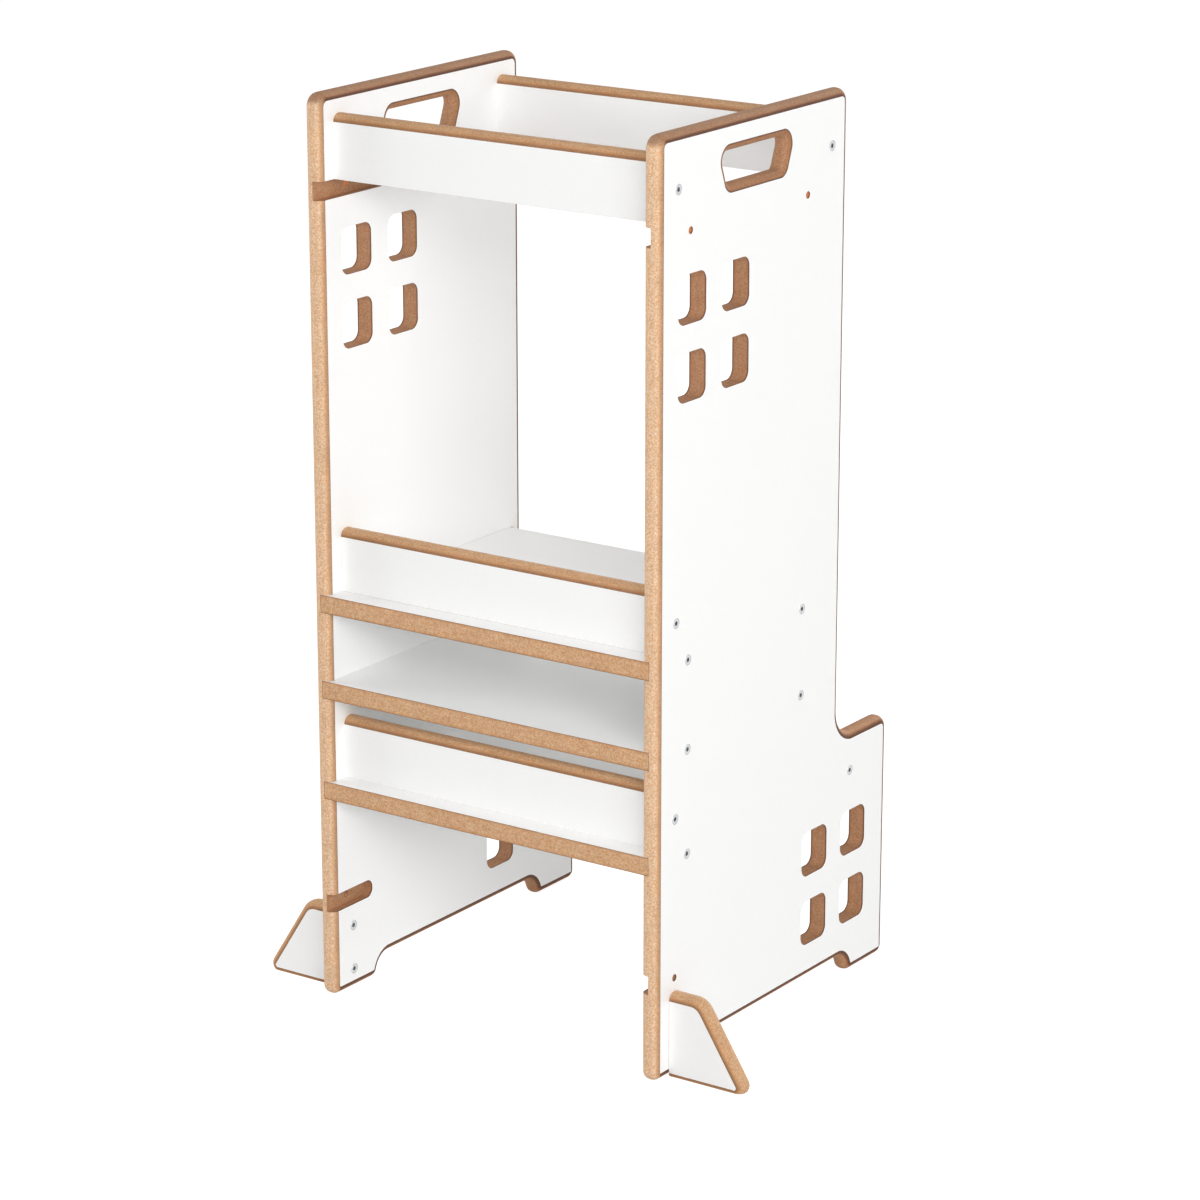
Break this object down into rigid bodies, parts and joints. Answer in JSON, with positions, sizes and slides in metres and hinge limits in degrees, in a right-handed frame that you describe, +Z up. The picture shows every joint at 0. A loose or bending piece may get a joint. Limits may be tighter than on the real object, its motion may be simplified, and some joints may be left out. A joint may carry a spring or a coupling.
{
  "type": "kitchen helper tower",
  "caption": "Standing tower for a small child: side panels with grooves, hand holes and windows, boards held in the grooves, guard rails, kick boards and stabiliser wings.",
  "frame": {"origin": "on the floor, under the middle of the tower's overall box", "axes": "+Z up, -Y towards the front with the kick boards, +X towards the side panel on the right of someone inside who faces the back"},
  "size_m": [0.566, 0.414, 0.9],
  "materials": {
    "white_panel": "white melamine-faced board with a faint orange-peel texture and bare brown fibreboard on its routed edges",
    "white_board": "white melamine-faced board, square-cut brown fibreboard edges",
    "white_rail": "white melamine-faced board with a rounded brown fibreboard top edge",
    "zinc_screw": "bright zinc-plated steel with a hex socket",
    "beech_dowel": "smooth beech dowel"
  },
  "bodies": {
    "root": {"side_panel_left": "white_panel", "side_panel_right": "white_panel", "platform_board": "white_board", "middle_board": "white_board", "step_board": "white_board", "top_rail_front": "white_rail", "top_rail_rear": "white_rail", "upper_kick_board": "white_rail", "lower_kick_board": "white_rail", "wing_left": "white_panel", "wing_right": "white_panel", "platform_screws": "zinc_screw", "middle_board_screws": "zinc_screw", "step_board_screws": "zinc_screw", "top_rail_front_screws": "zinc_screw", "top_rail_rear_screws": "zinc_screw", "upper_kick_screws": "zinc_screw", "lower_kick_screws": "zinc_screw", "wing_left_screws": "zinc_screw", "wing_right_screws": "zinc_screw", "top_rail_front_dowels": "beech_dowel", "top_rail_rear_dowels": "beech_dowel", "upper_kick_dowels": "beech_dowel", "lower_kick_dowels": "beech_dowel"}
  },
  "joints": []
}
